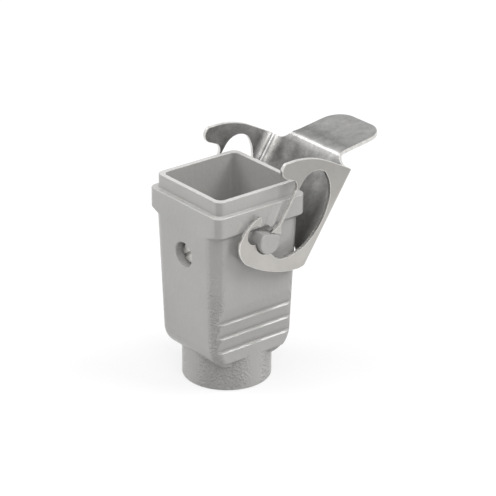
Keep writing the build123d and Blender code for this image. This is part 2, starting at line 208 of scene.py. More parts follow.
# The sloped edge of a ledge, ring by ring: height above the ledge's foot and way in from the wall.
LEDGE_EDGE = (
    (-0.42, 0.0),
    (-0.32, 0.02),
    (-0.02, 0.442),
    (0.0, 0.542),
    (0.01, LEDGE_DEPTH - 0.05),
    (0.06, LEDGE_DEPTH - 0.01),
)
# From body to collar: share of the way and corner radius there.
COLLAR_FLARE, COLLAR_WALL_Z = ((0.0, 4.4), (0.1, 4.0), (0.5, 3.2), (0.9, 2.4)), COLLAR_FULL + 0.15


def soft_edge(half, corner, top, size, way=1):
    """Rings that round off an edge up to a height; way -1 does so for the edge of an opening."""
    rings = []
    for turn in QUARTER:
        inset = way * size * (1 - cos(radians(turn)))
        rings.append(square_ring(half - inset, corner, top - size + size * sin(radians(turn))))
    return rings


outer_rings = []
for step in range(NECK_STEPS + 1):
    z = UNDERSIDE_Z + HAIR + (NECK_TOP_Z - UNDERSIDE_Z - HAIR) * step / NECK_STEPS
    outer_rings.append(body_ring(z, NECK_HALF))
for rise, inward in ((0.0, 1.0), (0.3, 0.3)):
    outer_rings.append(body_ring(NECK_TOP_Z + ROUND * rise, body_y(NECK_TOP_Z) - ROUND * inward))
outer_rings += [body_ring(z) for z in (NECK_TOP_Z + ROUND, *SHOULDER_RINGS)]
for foot in LEDGES:
    for above, inward in LEDGE_EDGE:
        outer_rings.append(body_ring(foot + above, body_y(foot) - inward))
    for part in SCOOP_PARTS:
        z = foot + LEDGE_RISE * part
        outer_rings.append(body_ring(z, body_y(z) - LEDGE_DEPTH * (1 - part)))
outer_rings += [body_ring(z) for z in WALL_RINGS]
for part, corner in COLLAR_FLARE:
    half_y = BODY_HALF_Y + (COLLAR_HALF - BODY_HALF_Y) * part
    z = COLLAR_LOW + (COLLAR_FULL - COLLAR_LOW) * part
    outer_rings.append(rounded_ring(COLLAR_HALF, half_y, corner, z))
outer_rings.append(square_ring(COLLAR_HALF, COLLAR_CORNER, COLLAR_WALL_Z))
outer_rings += soft_edge(COLLAR_HALF, COLLAR_CORNER, STEP_Z, EDGE)
for turn in (0, 30, 60, 90):
    reach = FILLET * (1 - sin(radians(turn)))
    z = STEP_Z + FILLET * (1 - cos(radians(turn)))
    outer_rings.append(square_ring(LIP_HALF + reach, LIP_CORNER, z))
outer_rings += soft_edge(LIP_HALF, LIP_CORNER, RIM_Z, LIP_EDGE)
outside = stack("outside", outer_rings)
print("outside", len(outer_rings), "rings of", len(outer_rings[0]), "points")

# %% [markdown]
# The inside, as the core of the casting tool. It is a solid that is later taken away from the outside.
# From the rim down it is the opening, the chamber of the contact insert, the cable chamber and the thread.
# The thread is cut into the core as a spiral: the radius follows the height and the angle together.

# %% Inside of the hood
SEAT_Z, INSERT_HALF, INSERT_CORNER, INSERT_LOW = 40.0, 10.55, 1.2, 30.0
FLOOR_Z, FLOOR_HALF, FLOOR_CORNER, CHAMBER_CORNER = 13.0, 9.35, 3.0, 4.2
CREST, ROOT, PITCH, FLANK_GAIN, FLAT_SHARE = 9.19, 10.0, 1.5, 1.25, 0.1
THREAD_STEPS_PER_TURN, THREAD_TOP, FADE_TOP, FADE_LENGTH = 6, 12.2, 11.6, 1.2
LEAD_IN, LEAD_IN_TOP, BROKEN_EDGE, BEYOND = 0.15, 1.0, 0.15, 0.5


def thread_ring(z):
    """Ring of the core at height z in the threaded bore, with a lead-in below and a fading end above."""
    fade = max(0.0, min(1.0, (FADE_TOP - z) / FADE_LENGTH))
    ring = []
    for x, y, _ in square_ring(1.0, 1.0, z):
        turn = atan2(y, x) / (2 * pi)
        phase = (z / PITCH - turn) % 1.0
        depth = 1.0 - abs(2.0 * phase - 1.0)
        depth = min(max(depth * FLANK_GAIN - FLAT_SHARE, 0.0), 1.0)
        radius = CREST + (ROOT - CREST) * depth * fade
        if z < LEAD_IN_TOP:
            radius = max(radius, ROOT + LEAD_IN - max(z, 0.0))
        ring.append((x * radius, y * radius, z))
    return ring


inner_rings = [thread_ring(-BEYOND)]
for index in range(int(THREAD_TOP / PITCH * THREAD_STEPS_PER_TURN) + 1):
    inner_rings.append(thread_ring(index * PITCH / THREAD_STEPS_PER_TURN))
for half, corner, z in (
    (CREST, CREST, FLOOR_Z - BROKEN_EDGE),
    (CREST + FILLET, CREST + FILLET, FLOOR_Z),
    (FLOOR_HALF - 0.02, FLOOR_CORNER, FLOOR_Z + 0.001),
    (INSERT_HALF, CHAMBER_CORNER, INSERT_LOW - HAIR),
    (INSERT_HALF, INSERT_CORNER, INSERT_LOW),
    (INSERT_HALF, INSERT_CORNER, SEAT_Z - BROKEN_EDGE),
    (INSERT_HALF + FILLET, INSERT_CORNER, SEAT_Z),
    (OPENING_HALF - BROKEN_EDGE, OPENING_CORNER, SEAT_Z),
    (OPENING_HALF, OPENING_CORNER, SEAT_Z + BROKEN_EDGE),
):
    inner_rings.append(square_ring(half, corner, z))
inner_rings += soft_edge(OPENING_HALF, OPENING_CORNER, RIM_Z, LIP_EDGE, way=-1)
inner_rings.append(square_ring(OPENING_HALF + LIP_EDGE, OPENING_CORNER, RIM_Z + 1))
core = stack("core", inner_rings)
print("core", len(inner_rings), "rings")

# %% [markdown]
# Turned shapes: the cable boss, the two pegs, and the pocket and hole for the insert screw.
# Each is a profile of radius against length, spun about its axis.
# Small arcs in the profile give the soft edges.

# %% Turned pieces
TURN_STEPS = 96
BOSS_RADIUS, BOSS_TOP, BOSS_EDGE = 11.52, 12.5, 0.3
PEG_Z, PEG_RADIUS, PEG_START, PEG_END, PEG_EDGE = 42.0, 3.1, 12.0, 17.2, 0.35
PEG_FLAT, PEG_TILT = 1.95, radians(18)
# The fillet at a peg's foot: length along the peg and how far it stands out beyond the peg.
PEG_FOOT = ((0.0, 0.35), (0.9, 0.35), (1.0, 0.14), (1.3, 0.0))


def turned(name, profile, origin, axis):
    """A solid of revolution from (length, radius) pairs along an axis from an origin, in millimetres."""
    direction = Vector(axis).normalized()
    across = direction.orthogonal().normalized()
    third = direction.cross(across)
    rings = []
    for length, radius in profile:
        ring = []
        for i in range(TURN_STEPS):
            angle = 2 * pi * i / TURN_STEPS
            spoke = (across * cos(angle) + third * sin(angle)) * radius
            ring.append(tuple(Vector(origin) + direction * length + spoke))
        rings.append(ring)
    return stack(name, rings)


def soft_end(length, radius, size, way=1):
    """Profile points of a rounded end that faces along the axis; way -1 flares it outwards, as a mouth."""
    points = []
    for turn in QUARTER:
        inset = way * size * (1 - cos(radians(turn)))
        points.append((length - size + size * sin(radians(turn)), radius - inset))
    return points


boss_profile = [(-BOSS_TOP, BOSS_RADIUS)] + soft_end(0.0, BOSS_RADIUS, BOSS_EDGE)
boss = turned("boss", boss_profile, (0, 0, 0), (0, 0, -1))
peg_profile = [(length, PEG_RADIUS + wider) for length, wider in PEG_FOOT]
peg_profile += soft_end(PEG_END - PEG_START, PEG_RADIUS, PEG_EDGE)
pegs = []
for side in (-1, 1):
    pegs.append(turned(f"peg_{side}", peg_profile, (0, side * PEG_START, PEG_Z), (0, side, 0)))
print("boss and pegs turned")

# %% [markdown]
# Joining the casting. A boolean modifier adds and takes away whole solids.
# It is applied at once, so the finished hood is one closed mesh, as the real casting is one piece.
# The flat on top of each peg is simply cut off by a plane, and the cut is closed again.

# %% Join the solids


def apply_modifiers(piece):
    """Works the modifiers of a piece into its mesh."""
    bpy.context.view_layer.update()
    graph = bpy.context.evaluated_depsgraph_get()
    mesh = bpy.data.meshes.new_from_object(piece.evaluated_get(graph))
    piece.modifiers.clear()
    piece.data = mesh


def combine(target, tool, operation):
    """Adds a solid to the target or takes it away, and removes the tool."""
    step = target.modifiers.new("join", "BOOLEAN")
    step.operation = operation
    step.solver = "EXACT"
    step.object = tool
    apply_modifiers(target)
    bpy.data.objects.remove(tool)


def cut_flat(piece, point, normal):
    """Cuts off what lies beyond a plane and closes the cut."""
    made = bmesh.new()
    made.from_mesh(piece.data)
    geometry = made.verts[:] + made.edges[:] + made.faces[:]
    cut = bmesh.ops.bisect_plane(made, geom=geometry, plane_co=point, plane_no=normal, clear_outer=True)
    edges = [e for e in cut["geom_cut"] if isinstance(e, bmesh.types.BMEdge)]
    bmesh.ops.edgeloop_fill(made, edges=edges)
    bmesh.ops.recalc_face_normals(made, faces=made.faces)
    made.to_mesh(piece.data)
    made.free()


peg_up = Vector((sin(PEG_TILT), 0, cos(PEG_TILT)))
for peg in pegs:
    cut_flat(peg, mm(0, 0, PEG_Z) + peg_up * PEG_FLAT * MM, peg_up)
hood = outside
hood.name = "hood_casting"
for added in (boss, *pegs):
    combine(hood, added, "UNION")
print("outside joined", len(hood.data.polygons), "faces")

# %% [markdown]
# Above each peg a low pad keeps the lever's arm from rubbing the collar.
# It starts from nothing just under the gasket step and rises to less than half a millimetre beside the
# peg, with soft flanks. A grid of points follows that rise, and a skirt below it reaches into the wall.

# %% Rub pads
PAD_ANGLE, PAD_NEAR, PAD_FAR, PAD_HALF, PAD_RISE = radians(31), 3.7, 9.4, 1.8, 0.45
PAD_ROWS, PAD_COLUMNS = 8, 10
PAD_LEVEL, PAD_FLANK, PAD_SUNK, PAD_ROOT = 0.8, 0.3, 0.02, 0.8


def pad_surface(side):
    """Rows of points on the top of a pad, from the peg outwards."""
    surface = []
    for i in range(PAD_ROWS + 1):
        along = PAD_NEAR + (PAD_FAR - PAD_NEAR) * i / PAD_ROWS
        fall = min(1.0, (PAD_FAR - along) / (PAD_FAR - PAD_NEAR - PAD_LEVEL))
        row = []
        for j in range(PAD_COLUMNS + 1):
            across = -1 + 2 * j / PAD_COLUMNS
            flank = min(1.0, (1 - abs(across)) / PAD_FLANK)
            height = PAD_RISE * fall * flank * flank * (3 - 2 * flank)
            x = along * sin(PAD_ANGLE) + across * PAD_HALF * cos(PAD_ANGLE)
            z = PEG_Z + along * cos(PAD_ANGLE) - across * PAD_HALF * sin(PAD_ANGLE)
            z = min(z, STEP_Z - EDGE - PAD_SUNK)
            row.append((x, side * (COLLAR_HALF - PAD_SUNK + height), z))
        surface.append(row)
    return surface


def rub_pad(side):
    """A low wedge on the collar face at the given side."""
    surface = pad_surface(side)
    root_y = side * (COLLAR_HALF - PAD_ROOT)
    made = bmesh.new()
    upper = [[made.verts.new(mm(*p)) for p in row] for row in surface]
    lower = [[made.verts.new(mm(p[0], root_y, p[2])) for p in row] for row in surface]
    for i in range(PAD_ROWS):
        for j in range(PAD_COLUMNS):
            made.faces.new((upper[i][j], upper[i][j + 1], upper[i + 1][j + 1], upper[i + 1][j]))
            made.faces.new((lower[i][j], lower[i + 1][j], lower[i + 1][j + 1], lower[i][j + 1]))
    for i in range(PAD_ROWS):
        for j in (0, PAD_COLUMNS):
            made.faces.new((upper[i][j], upper[i + 1][j], lower[i + 1][j], lower[i][j]))
    for j in range(PAD_COLUMNS):
        for i in (0, PAD_ROWS):
            made.faces.new((upper[i][j], upper[i][j + 1], lower[i][j + 1], lower[i][j]))
    bmesh.ops.recalc_face_normals(made, faces=made.faces)
    mesh = bpy.data.meshes.new("pad")
    made.to_mesh(mesh)
    made.free()
    return add_object("pad", mesh)


for side in (-1, 1):
    combine(hood, rub_pad(side), "UNION")
combine(hood, core, "DIFFERENCE")
print("core taken out", len(hood.data.polygons), "faces")

# %% [markdown]
# The screw that holds the contact insert sits deep in a round pocket in the left wall.
# The pocket has a softly rounded mouth, because the paint flows over that edge.
# A pad inside gives the screw its wall.

# %% Screw pocket
SCREW_Z, POCKET_RADIUS, POCKET_DEPTH, MOUTH, MOUTH_BEYOND = 36.5, 3.2, 3.2, 0.3, 1.0
SCREW_PAD_RADIUS, SCREW_PAD_FACE, SCREW_PAD_LENGTH, SCREW_PAD_EDGE = 3.45, 9.3, 3.0, 0.2
HOLE_RADIUS, HOLE_START, HOLE_LENGTH = 1.65, 8.0, 6.0
TO_LEFT = (-1, 0, 0)

pad_profile = [(0.0, SCREW_PAD_RADIUS - SCREW_PAD_EDGE)]
pad_profile += [(length, SCREW_PAD_RADIUS) for length in (SCREW_PAD_EDGE, SCREW_PAD_LENGTH)]
combine(hood, turned("pad_inside", pad_profile, (-SCREW_PAD_FACE, 0, SCREW_Z), TO_LEFT), "UNION")
pocket_profile = [(0.0, POCKET_RADIUS)] + soft_end(POCKET_DEPTH, POCKET_RADIUS, MOUTH, way=-1)
pocket_profile.append((POCKET_DEPTH + MOUTH_BEYOND, POCKET_RADIUS + MOUTH))
pocket_floor = (POCKET_DEPTH - body_x(SCREW_Z), 0, SCREW_Z)
combine(hood, turned("pocket", pocket_profile, pocket_floor, TO_LEFT), "DIFFERENCE")
hole_profile = [(0.0, HOLE_RADIUS), (HOLE_LENGTH, HOLE_RADIUS)]
combine(hood, turned("screw_hole", hole_profile, (-HOLE_START, 0, SCREW_Z), TO_LEFT), "DIFFERENCE")
print("hood", len(hood.data.polygons), "faces")

# %% [markdown]
# The locking lever starts as a flat blank, just as in the press shop, and is folded afterwards.
# The blank is drawn in two measures: s runs along the sheet from the middle of the back plate round to
# a cheek, and v runs up the plate. Half of it is drawn, and the other half mirrors it.
# The cheek is drawn first, seen from the side. Its points were read from the photograph.

# %% Outline of a cheek
SHEET, BEND = 1.0, 1.5
PLATE_X, BEND_X, PLATE_FLAT = 16.2, 14.7, 13.9
PLATE_TOP, PLATE_LOW = 25.4, 2.0
BEND_LENGTH = BEND * pi / 2
SEAT_RADIUS, SEAT_END_TURN, LOBE, LOBE_RADIUS = 3.45, radians(-50), (-4.4, 0.05), 2.45
HEEL = ((14.3, -2.8), (17.5, 0.6))
ARC_STEP, ARC_TURN = 0.45, radians(9)


def heel_z(x):
    """Height of the slanted lower corner of the lever at x."""
    (x0, z0), (x1, z1) = HEEL
    return z0 + (z1 - z0) * (x - x0) / (x1 - x0)


def arc_on(outline, through, end):
    """Carries an outline on along a circle arc, through a middle point to an end."""
    (ax, ay), (bx, by), (cx, cy) = outline[-1], through, end
    a, b, c = ax**2 + ay**2, bx**2 + by**2, cx**2 + cy**2
    d = 2 * (ax * (by - cy) + bx * (cy - ay) + cx * (ay - by))
    ux = (a * (by - cy) + b * (cy - ay) + c * (ay - by)) / d
    uy = (a * (cx - bx) + b * (ax - cx) + c * (bx - ax)) / d
    radius = hypot(ax - ux, ay - uy)
    first, middle, last = (atan2(y - uy, x - ux) for x, y in ((ax, ay), through, end))
    sweep = (last - first) % (2 * pi)
    if (middle - first) % (2 * pi) > sweep:
        sweep -= 2 * pi
    count = max(3, int(abs(sweep) * radius / ARC_STEP), int(abs(sweep) / ARC_TURN))
    for k in range(1, count + 1):
        angle = first + sweep * k / count
        outline.append((ux + radius * cos(angle), uy + radius * sin(angle)))


lobe_x, lobe_y = LOBE
lobe_away = hypot(lobe_x, lobe_y)
chord = (lobe_away**2 + SEAT_RADIUS**2 - LOBE_RADIUS**2) / (2 * lobe_away)
half_chord = (SEAT_RADIUS**2 - chord**2) ** 0.5
cusp_x = (lobe_x * chord - lobe_y * half_chord) / lobe_away
cusp_y = (lobe_y * chord + lobe_x * half_chord) / lobe_away

cheek = [(BEND_X, PLATE_TOP)]
arc_on(cheek, (9.9, 24.9), (5.3, 24.3))
arc_on(cheek, (-0.7, 22.3), (-4.95, 19.6))
arc_on(cheek, (-5.75, 18.95), (-6.0, 18.0))
cheek += [(-6.0, 17.5)]
arc_on(cheek, (-5.0, 16.1), (-2.95, 15.85))
cheek += [(-0.6, 16.3)]
arc_on(cheek, (0.8, 15.65), (1.5, 14.0))
cheek += [(1.5, 11.0), (1.5, 8.0), (1.5, 4.9), (0.0, 2.28), (3.3, 3.22)]
cheek += [(2.05, 4.9), (2.05, 8.0), (2.05, 11.0), (2.05, 15.0), (2.15, 16.9)]
arc_on(cheek, (3.9, 20.6), (7.6, 21.75))
arc_on(cheek, (11.7, 18.85), (13.6, 14.9))
arc_on(cheek, (14.25, 10.6), (13.7, 6.3))
arc_on(cheek, (11.85, 1.9), (8.25, -1.75))
arc_on(cheek, (5.9, -2.75), (3.6, -2.35))
cheek += [(SEAT_RADIUS * cos(SEAT_END_TURN), SEAT_RADIUS * sin(SEAT_END_TURN))]
arc_on(cheek, (0, -SEAT_RADIUS), (cusp_x, cusp_y))
arc_on(cheek, (lobe_x - LOBE_RADIUS, lobe_y), (lobe_x, lobe_y + LOBE_RADIUS))
cheek += [(-4.4, 2.95)]
arc_on(cheek, (-4.75, 4.0), (-5.6, 4.75))
cheek += [(-6.4, 3.7)]
arc_on(cheek, (-7.6, 0.6), (-7.9, -2.7))
arc_on(cheek, (-6.3, -5.9), (-2.0, -7.5))
arc_on(cheek, (5.3, -6.6), (11.8, -4.3))
cheek += [(13.0, -3.58), HEEL[0], (BEND_X, heel_z(BEND_X))]
print("cheek outline", len(cheek), "points")

# %% [markdown]
# The tab at the top is bent outwards by forty-eight degrees, so that a thumb can press it down.
# Where it leaves the plate its sides flare into the plate with a round of four millimetres.
# That round is measured square on, so its height is first turned into a length along the bent sheet.

# %% Outline of the blank
TAB_ANGLE, TAB_LENGTH, TAB_HALF, TAB_CORNER, TAB_FLARE = radians(48), 16.2, 9.2, 5.6, 4.0
TAB_CORNER_Z = 27.7
TAB_CORNER_STEPS, TAB_FLARE_STEPS, HEEL_STEPS = 14, 10, 8
CUT_HALF, CUT_SPREAD = 9.2, 1.4
outer_bend = BEND + SHEET / 2
tab_start = TAB_CORNER_Z - outer_bend * tan(TAB_ANGLE / 2)
tab_bend_end = tab_start + BEND * TAB_ANGLE
tab_tip = tab_bend_end + TAB_LENGTH - outer_bend * tan(TAB_ANGLE / 2)


def sheet_length(z):
    """Length along the sheet at which the bent tab has reached height z."""
    if z <= tab_start:
        return z
    top_of_bend = tab_start + BEND * sin(TAB_ANGLE)
    if z <= top_of_bend:
        return tab_start + BEND * asin((z - tab_start) / BEND)
    return tab_bend_end + (z - top_of_bend) / cos(TAB_ANGLE)


half = [(TAB_HALF - TAB_CORNER, tab_tip)]
for k in range(1, TAB_CORNER_STEPS + 1):
    turn = radians(90 - 90 * k / TAB_CORNER_STEPS)
    v = tab_tip - TAB_CORNER + TAB_CORNER * sin(turn)
    half.append((TAB_HALF - TAB_CORNER + TAB_CORNER * cos(turn), v))
for k in range(TAB_FLARE_STEPS + 1):
    turn = radians(90 * k / TAB_FLARE_STEPS)
    z = PLATE_TOP + TAB_FLARE - TAB_FLARE * sin(turn)
    half.append((TAB_HALF + TAB_FLARE - TAB_FLARE * cos(turn), sheet_length(z)))
half.append((PLATE_FLAT, PLATE_TOP))
half += [(PLATE_FLAT + BEND_LENGTH + BEND_X - x, z) for x, z in cheek]
for k in range(1, HEEL_STEPS + 1):
    turn = pi / 2 * (1 - k / HEEL_STEPS)
    half.append((PLATE_FLAT + BEND * turn, heel_z(BEND_X + BEND * cos(turn))))
plate_low_z = heel_z(PLATE_X)
half.append((CUT_HALF + CUT_SPREAD * (PLATE_LOW - plate_low_z), plate_low_z))
half.append((CUT_HALF, PLATE_LOW))
blank = half + [(-s, v) for s, v in reversed(half)]
print("blank", len(blank), "points, tab", round(tab_tip - tab_start, 2), "mm long")

# %% [markdown]
# The blank is filled with triangles. A flat fill would have no points where the sheet folds, so extra
# lines are laid across it there. They reach beyond the blank, and what lies outside its outline is
# left out.

# %% Fill the blank
FOLD_STEPS = 10
LINE_LOW, LINE_HIGH, LINE_SIDE = -9.0, 27.0, 13.0
FILL_TOLERANCE = 1e-5


def in_outline(x, y, outline):
    """True where a point is inside a closed outline."""
    inside = False
    for (x0, y0), (x1, y1) in zip(outline, outline[1:] + outline[:1]):
        if (y0 > y) != (y1 > y) and x < x0 + (y - y0) * (x1 - x0) / (y1 - y0):
            inside = not inside
    return inside


flat_points = [Vector(p) for p in blank]
flat_edges = [(i, (i + 1) % len(blank)) for i in range(len(blank))]
fold_lines = []
for k in range(FOLD_STEPS + 1):
    s = PLATE_FLAT + BEND_LENGTH * k / FOLD_STEPS
    fold_lines += [((s, LINE_LOW), (s, LINE_HIGH)), ((-s, LINE_LOW), (-s, LINE_HIGH))]
    v = tab_start + (tab_bend_end - tab_start) * k / FOLD_STEPS
    fold_lines.append(((-LINE_SIDE, v), (LINE_SIDE, v)))
for start, end in fold_lines:
    flat_points += [Vector(start), Vector(end)]
    flat_edges.append((len(flat_points) - 2, len(flat_points) - 1))
filled, _, triangles, *_ = delaunay_2d_cdt(flat_points, flat_edges, [], 0, FILL_TOLERANCE)
kept = []
for face in triangles:
    middle = sum((filled[i] for i in face), Vector((0, 0))) / len(face)
    if in_outline(middle.x, middle.y, blank):
        kept.append(face)
used = sorted({i for face in kept for i in face})
print("flat blank", len(used), "points and", len(kept), "faces")

# %% [markdown]
# Then every point is moved to its folded place. Each point is placed twice, half a sheet to one side and
# half to the other, which gives the sheet its thickness.
# The fold keeps lengths along the middle of the sheet, as a press brake does.

# %% Fold the blank
OPEN = radians(34)
OUTER_SIDE, INNER_SIDE, CUT_EDGE = 0, 1, 2


def folded(s, v):
    """Place on the middle of the folded sheet and its outward direction, in the lever's own frame."""
    side = -1 if s >= 0 else 1
    s = abs(s)
    if s <= PLATE_FLAT:
        if v <= tab_start:
            return Vector((PLATE_X, side * s, v)), Vector((1, 0, 0))
        turn = min((v - tab_start) / BEND, TAB_ANGLE)
        run = max(v - tab_bend_end, 0.0)
        x = PLATE_X + BEND - BEND * cos(turn) + run * sin(turn)
        z = tab_start + BEND * sin(turn) + run * cos(turn)
        return Vector((x, side * s, z)), Vector((cos(turn), 0, -sin(turn)))
    turn = min((s - PLATE_FLAT) / BEND, pi / 2)
    run = max(s - PLATE_FLAT - BEND_LENGTH, 0.0)
    x = BEND_X + BEND * cos(turn) - run
    y = PLATE_FLAT + BEND * sin(turn)
    return Vector((x, side * y, v)), Vector((cos(turn), side * sin(turn), 0))


turn_open = Matrix.Translation(mm(0, 0, PEG_Z)) @ Matrix.Rotation(OPEN, 4, "Y")
sides = []
for offset in (SHEET / 2, -SHEET / 2):
    for i in used:
        place, outward = folded(filled[i].x, filled[i].y)
        sides.append(turn_open @ ((place + outward * offset) * MM))
count = len(used)
renumber = {old: new for new, old in enumerate(used)}
faces = [tuple(renumber[i] for i in face) for face in kept]
edge_ways = dict.fromkeys((a, b) for face in faces for a, b in zip(face, face[1:] + face[:1]))
rim = [(a, b) for a, b in edge_ways if (b, a) not in edge_ways]
solid = faces + [tuple(count + i for i in reversed(face)) for face in faces]
solid += [(b, a, count + a, count + b) for a, b in rim]
finishes = [OUTER_SIDE] * len(faces) + [INNER_SIDE] * len(faces) + [CUT_EDGE] * len(rim)
lever_mesh = bpy.data.meshes.new("lever_sheet")
lever_mesh.from_pydata(sides, [], solid)
for _ in (OUTER_SIDE, INNER_SIDE, CUT_EDGE):
    lever_mesh.materials.append(None)
lever = add_object("lever_sheet", lever_mesh)
print("folded sheet", len(solid), "faces, rim", len(rim), "edges")

# %% [markdown]
# The fill leaves many small faces on the flat parts. They are merged where they lie in one plane, and
# then the cut edges get a narrow bevel, because a tumbled sheet has no sharp edge.

# %% Soften the sheet
FLAT_BELOW, SHARP_ABOVE = radians(0.4), radians(50)
SHEET_EDGE = 0.14 * MM

made = bmesh.new()
made.from_mesh(lever_mesh)
for face, finish in zip(made.faces, finishes):
    face.material_index = finish
bmesh.ops.recalc_face_normals(made, faces=made.faces)
bmesh.ops.dissolve_limit(made, angle_limit=FLAT_BELOW, edges=made.edges[:], delimit={"MATERIAL"})
made.to_mesh(lever_mesh)
made.free()
soften = lever.modifiers.new("soft edges", "BEVEL")
soften.width = SHEET_EDGE
soften.segments = 2
soften.limit_method = "ANGLE"
soften.angle_limit = SHARP_ABOVE
soften.use_clamp_overlap = False
soften.material = CUT_EDGE
apply_modifiers(lever)
print("lever", len(lever.data.polygons), "faces")

# %% [markdown]
# Shading. A cast and painted surface is smooth, but its flat faces should stay flat.
# Faces that meet at less than thirty-two degrees shade smoothly, and the weighted normal modifier lets
# large faces win.

# %% Smooth shading
SMOOTH_BELOW = radians(32)
FACE_WEIGHT = 80


def smooth(piece):
    """Smooth shading over gentle angles, with large faces kept flat."""
    piece.data.shade_smooth()
    piece.data.set_sharp_from_angle(angle=SMOOTH_BELOW)
    weighted = piece.modifiers.new("flat faces", "WEIGHTED_NORMAL")
    weighted.keep_sharp = True
    weighted.weight = FACE_WEIGHT


smooth(hood)
smooth(lever)
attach(hood, "hood")
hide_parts("hood_shell")
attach(lever, "lever")
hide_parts("locking_lever")
print("dressed pieces", hood.name, "and", lever.name)

# %% [markdown]
# A finish is a plan of nodes. A few steps come back in every plan: noise in object space, a colour that
# follows a value, a value stretched to a new range, and waves in the height of the surface.
# Each gets a helper, so that the finishes themselves stay short enough to read.

# %% Helpers for finishes


def new_material(name):
    """A material with its node tree and its main shader."""
    material = bpy.data.materials.new(name)
    material.use_nodes = True
    return material, material.node_tree, material.node_tree.nodes["Principled BSDF"]


def put(tree, value, socket):
    """Links an output into an input, or sets the input to a constant."""
    if isinstance(value, bpy.types.NodeSocket):
        tree.links.new(value, socket)
    else:
        socket.default_value = value


def maths(tree, operation, *values, vector=False):
    """The result of a maths node."""
    made = tree.nodes.new("ShaderNodeVectorMath" if vector else "ShaderNodeMath")
    made.operation = operation
    for value, socket in zip(values, made.inputs):
        put(tree, value, socket)
    return made.outputs[0]


def scaled(tree, colour, factor):
    """A colour made lighter or darker by a factor."""
    made = tree.nodes.new("ShaderNodeVectorMath")
    made.operation = "SCALE"
    put(tree, colour, made.inputs[0])
    put(tree, factor, made.inputs["Scale"])
    return made.outputs[0]


def split(tree, vector):
    """The three parts of a vector."""
    made = tree.nodes.new("ShaderNodeSeparateXYZ")
    put(tree, vector, made.inputs[0])
    return made.outputs["X"], made.outputs["Y"], made.outputs["Z"]


def span(tree, value, start, end, low=0.0, high=1.0, smooth_ends=False):
    """A number that runs from low to high as the value runs from start to end."""
    made = tree.nodes.new("ShaderNodeMapRange")
    made.interpolation_type = "SMOOTHSTEP" if smooth_ends else "LINEAR"
    for name, number in (("From Min", start), ("From Max", end), ("To Min", low), ("To Max", high)):
        made.inputs[name].default_value = number
    put(tree, value, made.inputs["Value"])
    return made.outputs[0]


print("helpers", [f.__name__ for f in (new_material, put, maths, scaled, split, span)])

# %% [markdown]
# The pattern of a finish comes from noise in object space, so it is fixed to the piece and moves with it.
# The same noise can become a colour, between two tones, or waves in the height of the surface, which
# catch the light as small dents do. A painted pattern would need the piece to be unwrapped first.

# %% Noise, tones and waves


def noise(tree, place, scale, detail, roughness=0.5, stretch=(1, 1, 1)):
    """Noise in object space; the scale counts waves in a metre."""
    mapping = tree.nodes.new("ShaderNodeMapping")
    mapping.inputs["Scale"].default_value = stretch
    put(tree, place, mapping.inputs["Vector"])
    texture = tree.nodes.new("ShaderNodeTexNoise")
    texture.inputs["Scale"].default_value = scale
    texture.inputs["Detail"].default_value = detail
    texture.inputs["Roughness"].default_value = roughness
    put(tree, mapping.outputs["Vector"], texture.inputs["Vector"])
    return texture.outputs["Fac"]


def grey(tone):
    """A neutral colour with its alpha."""
    return (tone, tone, tone, 1)


def ramp(tree, value, marks):
    """A colour that follows marks of (value, colour); a plain number stands for a grey."""
    made = tree.nodes.new("ShaderNodeValToRGB")
    points = made.color_ramp.elements
    while len(points) < len(marks):
        points.new(0.5)
    for point, (position, colour) in zip(points, marks):
        point.position = position
        point.color = (*colour, 1) if isinstance(colour, tuple) else grey(colour)
    put(tree, value, made.inputs["Fac"])
    return made.outputs["Color"]


def clouds(tree, value, low, high):
    """A colour between low and high, for a noise whose values crowd around the middle."""
    return ramp(tree, value, ((0.3, low), (0.7, high)))


def bump(tree, height, strength, distance, before=None):
    """Surface waves of a height in metres, on top of earlier ones."""
    made = tree.nodes.new("ShaderNodeBump")
    put(tree, strength, made.inputs["Strength"])
    put(tree, distance, made.inputs["Distance"])
    put(tree, height, made.inputs["Height"])
    if before is not None:
        put(tree, before, made.inputs["Normal"])
    return made.outputs["Normal"]


print("a middle grey is", grey(0.5))

# %% [markdown]
# The paint is a grey powder coat. Its upright corners and its hollows get painted shade,
# so both are a little darker than the flat faces.
# The surface's own direction finds the upright corners, and its openness to the air finds the hollows.
# Hollows could be painted by hand, but this way they follow the shape when it changes.

# %% Colour of the paint
POWDER_DARK, POWDER_LIGHT = (0.328, 0.322, 0.313), (0.362, 0.356, 0.347)
CORNER_FROM, CORNER_FULL, CORNER_SHADE, RAGGED = 0.14, 0.26, 0.89, -0.34
HOLLOW_REACH, HOLLOW_FULL, HOLLOW_NONE, HOLLOW_SHADE = 1.6 * MM, 0.1, 0.42, 0.6

paint, tree, shader = new_material("grey powder coat")
coordinates = tree.nodes.new("ShaderNodeTexCoord")
place = coordinates.outputs["Object"]
powder = clouds(tree, noise(tree, place, 60, 3), POWDER_DARK, POWDER_LIGHT)
# Painted shade on the upright corners: a ragged band where the surface turns between X and Y is made
# darker.
across_x, across_y, _ = split(tree, maths(tree, "ABSOLUTE", coordinates.outputs["Normal"], vector=True))
diagonal = maths(tree, "MINIMUM", across_x, across_y)
speckle = noise(tree, place, 1500, 2, 0.6)
ragged_shade_mask = maths(tree, "MULTIPLY_ADD", speckle, RAGGED, diagonal)
painted_corner_shade = span(tree, ragged_shade_mask, CORNER_FROM, CORNER_FULL, 1.0, CORNER_SHADE, smooth_ends=True)
# Painted shade in the hollows: places that the hood's own shape closes in are made darker.
open_air = tree.nodes.new("ShaderNodeAmbientOcclusion")
open_air.only_local = True
open_air.samples = 8
open_air.inputs["Distance"].default_value = HOLLOW_REACH
painted_hollow_shade = span(tree, open_air.outputs["AO"], HOLLOW_FULL, HOLLOW_NONE, HOLLOW_SHADE, 1.0)
powder = scaled(tree, scaled(tree, powder, painted_corner_shade), painted_hollow_shade)
put(tree, powder, shader.inputs["Base Color"])
print("paint colour", len(tree.nodes), "nodes")

